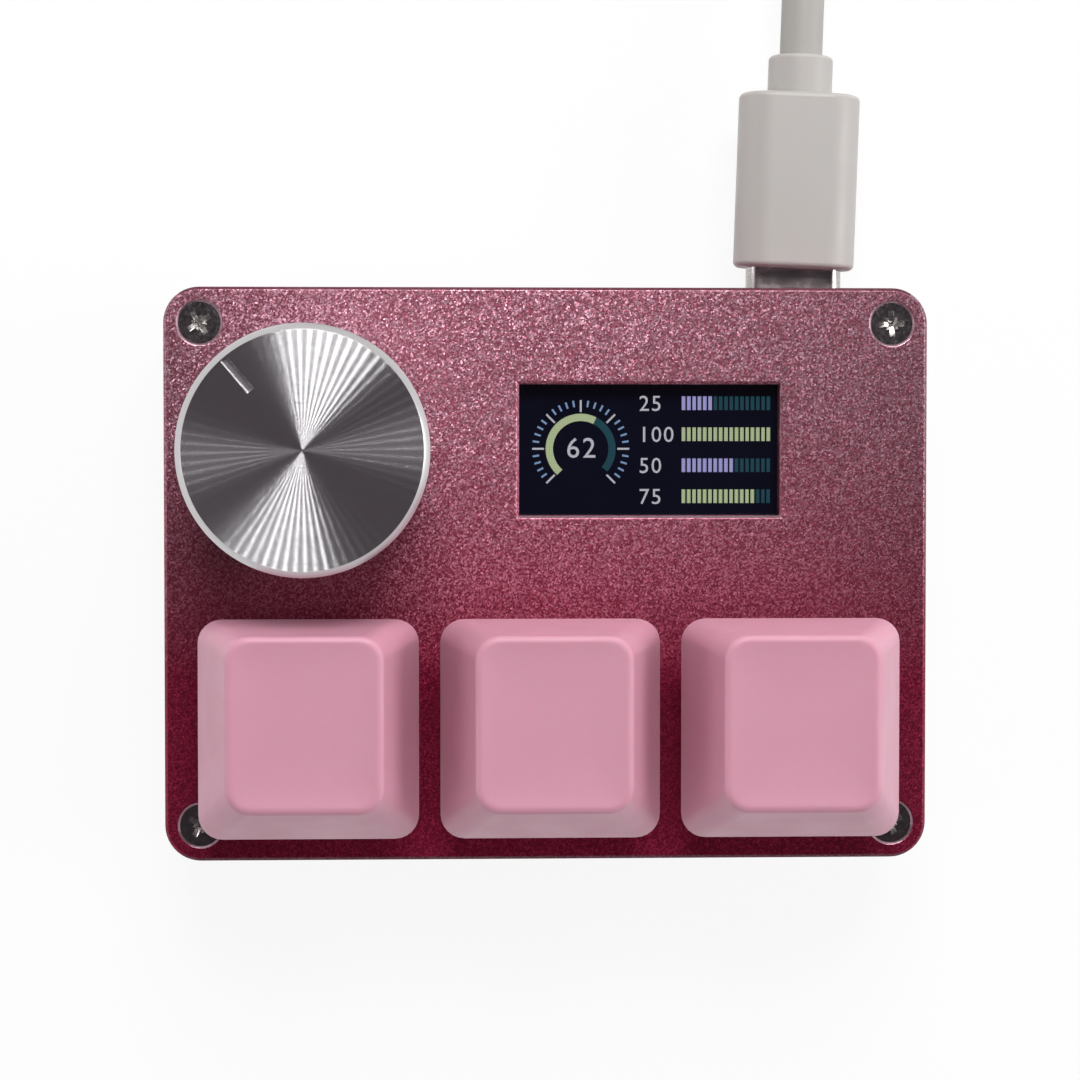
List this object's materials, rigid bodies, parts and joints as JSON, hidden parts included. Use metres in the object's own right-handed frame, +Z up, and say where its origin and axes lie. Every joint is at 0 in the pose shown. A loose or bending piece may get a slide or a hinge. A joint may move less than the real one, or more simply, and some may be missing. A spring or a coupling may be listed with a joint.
{
  "type": "macro keypad with knob",
  "caption": "Small desk keypad: three sprung keys, a knob that turns and presses and a colour screen in a flat metal case, with a plugged-in USB lead.",
  "frame": {"origin": "centre of the case's footprint, on the surface that the feet stand on", "axes": "+X to the right along the row of keys, +Y to the back where the lead plugs in, +Z up"},
  "size_m": [0.0684, 0.1557, 0.0293],
  "materials": {
    "plate_anodised": "bead-blasted, pink anodised",
    "case_anodised": "bead-blasted, pink anodised",
    "screw_steel": "dark nickel",
    "foot_rubber": "matt",
    "board_laminate": "black solder mask",
    "chip_plastic": "matt black",
    "capacitor_ceramic": "plain",
    "crystal_can": "plain",
    "socket_steel": "plated",
    "socket_plastic": "black",
    "gasket_foam": "black foam",
    "screen_glass": "dark polariser",
    "backlight_plastic": "white",
    "ribbon_film": "amber film",
    "pad_foam": "grey foam",
    "plug_steel": "drawn",
    "plug_core": "black",
    "plug_white": "soft white",
    "cord_white": "soft white",
    "tie_band": "white hook and loop",
    "switch_lower": "black",
    "switch_upper": "black",
    "switch_slider": "red",
    "spring_steel": "drawn wire",
    "contact_copper": "plain",
    "keycap_pink": "fine matt",
    "encoder_plastic": "black",
    "encoder_zinc": "die-cast",
    "encoder_sheet": "tinned",
    "shaft_metal": "turned",
    "knob_metal": "spun",
    "grub_steel": "black oxide"
  },
  "bodies": {
    "case": {"capacitors": "capacitor_ceramic", "case_tray": "case_anodised", "circuit_board": "board_laminate", "coil_tie": "tie_band", "controller_chip": "chip_plastic", "cord_coil": "cord_white", "cord_lead": "cord_white", "cord_tail": "cord_white", "crystal": "crystal_can", "detent_spring": "spring_steel", "display_pad": "pad_foam", "encoder_base": "encoder_plastic", "encoder_bracket": "encoder_sheet", "encoder_housing": "encoder_zinc", "encoder_terminals": "contact_copper", "flash_chip": "chip_plastic", "host_plug_insulator": "plug_core", "host_plug_overmould": "plug_white", "host_plug_shell": "plug_steel", "lcd_backlight": "backlight_plastic", "lcd_flex": "ribbon_film", "lcd_panel": "screen_glass", "plate_screws": "screw_steel", "plug_insulator": "plug_core", "plug_overmould": "plug_white", "plug_shell": "plug_steel", "press_dome": "spring_steel", "rubber_feet": "foot_rubber", "switch_bottom_left": "switch_lower", "switch_bottom_middle": "switch_lower", "switch_bottom_right": "switch_lower", "switch_contacts": "contact_copper", "switch_spring_left": "spring_steel", "switch_spring_middle": "spring_steel", "switch_spring_right": "spring_steel", "switch_top_left": "switch_upper", "switch_top_middle": "switch_upper", "switch_top_right": "switch_upper", "top_plate": "plate_anodised", "usb_socket_shell": "socket_steel", "usb_socket_tongue": "socket_plastic", "voltage_regulator": "chip_plastic", "window_gasket": "gasket_foam"},
    "key_left": {"keycap_left": "keycap_pink", "switch_stem_left": "switch_slider"},
    "key_middle": {"keycap_middle": "keycap_pink", "switch_stem_middle": "switch_slider"},
    "key_right": {"keycap_right": "keycap_pink", "switch_stem_right": "switch_slider"},
    "encoder_rotor": {"encoder_rotor": "encoder_plastic"},
    "knob": {"knob": "knob_metal", "knob_grub_screw": "grub_steel", "encoder_shaft": "shaft_metal"}
  },
  "joints": [
    {"name": "key_left_press", "type": "slide", "parent": "case", "child": "key_left", "axis": [0, 0, -1], "range_m": [0, 0.004], "stiffness_N_per_m": 75, "springref_m": -0.004, "deforming": ["switch_spring_left"]},
    {"name": "key_middle_press", "type": "slide", "parent": "case", "child": "key_middle", "axis": [0, 0, -1], "range_m": [0, 0.004], "stiffness_N_per_m": 75, "springref_m": -0.004, "deforming": ["switch_spring_middle"]},
    {"name": "key_right_press", "type": "slide", "parent": "case", "child": "key_right", "axis": [0, 0, -1], "range_m": [0, 0.004], "stiffness_N_per_m": 75, "springref_m": -0.004, "deforming": ["switch_spring_right"]},
    {"name": "knob_turn", "type": "hinge", "parent": "case", "child": "encoder_rotor", "pos_m": [-0.0198, 0.01035, 0.0093], "axis": [0, 0, 1], "continuous": true},
    {"name": "knob_press", "type": "slide", "parent": "encoder_rotor", "child": "knob", "axis": [0, 0, -1], "range_m": [0, 0.0005], "stiffness_N_per_m": 3000, "springref_m": -0.0005, "deforming": ["press_dome"]}
  ]
}
